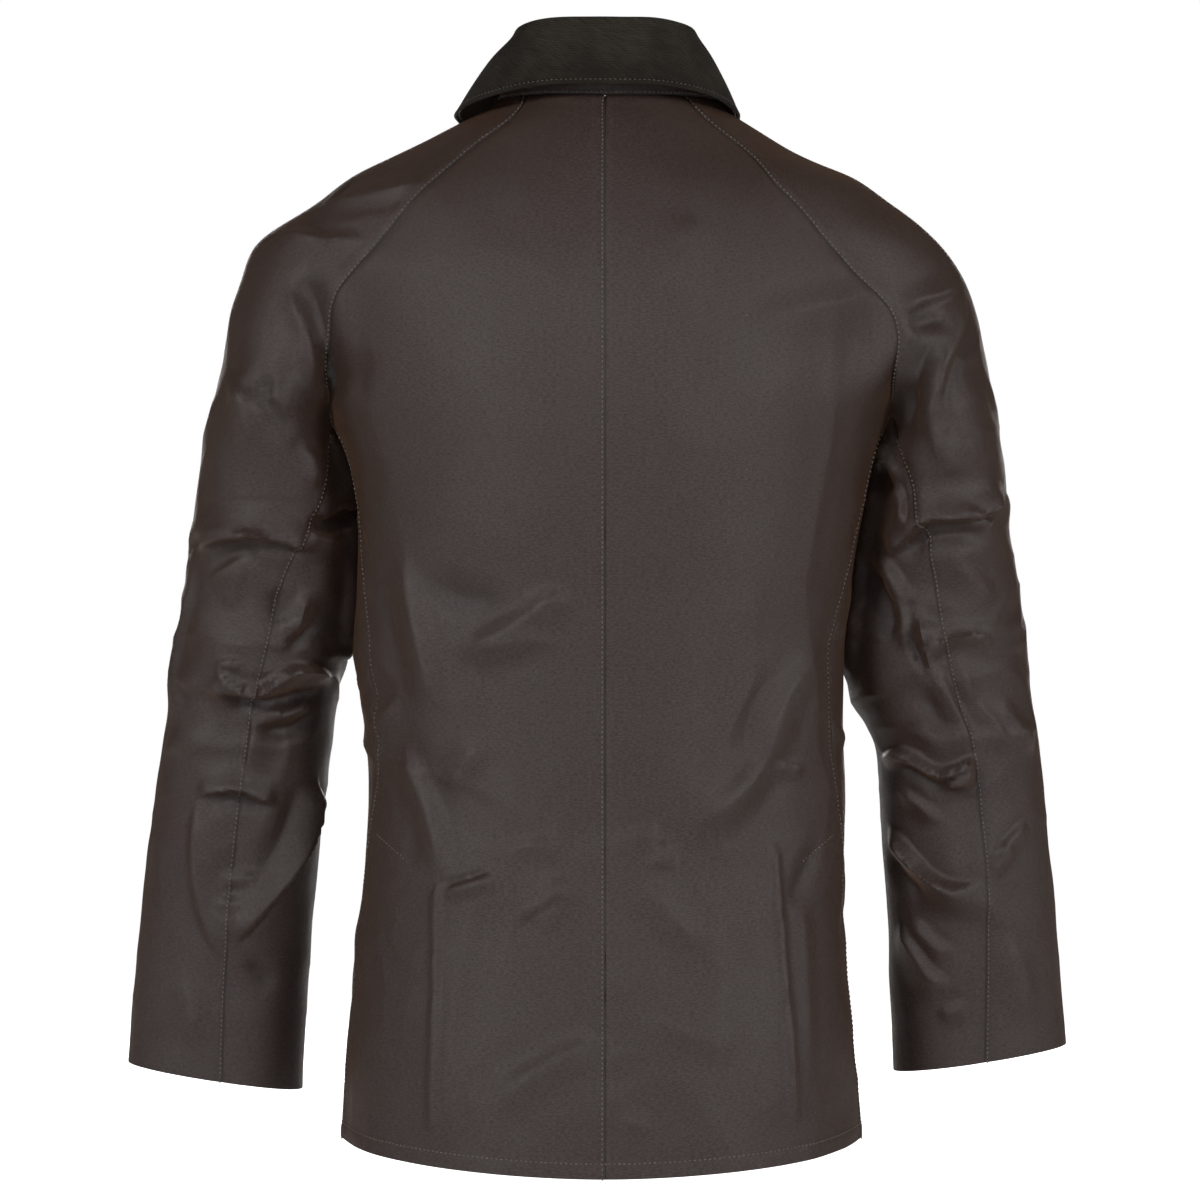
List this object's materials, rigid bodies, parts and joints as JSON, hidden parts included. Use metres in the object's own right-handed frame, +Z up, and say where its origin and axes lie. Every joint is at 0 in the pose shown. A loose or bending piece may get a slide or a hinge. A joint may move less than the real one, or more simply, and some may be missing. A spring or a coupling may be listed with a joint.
{
  "type": "waxed cotton jacket",
  "caption": "Hip-length waxed cotton jacket in worn form, with raglan sleeves, a folded corduroy collar, side vents at the back and a closed front zip.",
  "frame": {"origin": "inside the neck opening, level with the neck seam at the centre back", "axes": "+X towards the wearer's left, -Y the way the wearer faces, +Z up"},
  "size_m": [0.6735, 0.2828, 0.7963],
  "materials": {
    "waxed_cotton": "waxed plain-weave cotton, dark brown-grey with a soft dull sheen",
    "corduroy": "fine-wale corduroy, near-black brown, matt with a soft nap",
    "zip_tape": "plain woven tape, matt dark brown",
    "brass": "plain cast and stamped brass, slightly dull"
  },
  "bodies": {
    "jacket": {"back_left": "waxed_cotton", "back_right": "waxed_cotton", "front_left": "waxed_cotton", "front_right": "waxed_cotton", "sleeve_left": "waxed_cotton", "sleeve_right": "waxed_cotton", "vent_lap_left": "waxed_cotton", "vent_lap_right": "waxed_cotton", "collar_top": "corduroy", "collar_under": "waxed_cotton", "zip_tape_left": "zip_tape", "zip_tape_right": "zip_tape", "zip_chain": "brass", "zip_box": "brass", "zip_slider": "brass"},
    "pull": {"zip_pull": "brass"}
  },
  "joints": [
    {"name": "pull_swing", "type": "hinge", "parent": "jacket", "child": "pull", "pos_m": [0, -0.09455, -0.09374], "axis": [-1, 0, 0], "range_deg": [0, 150]}
  ]
}
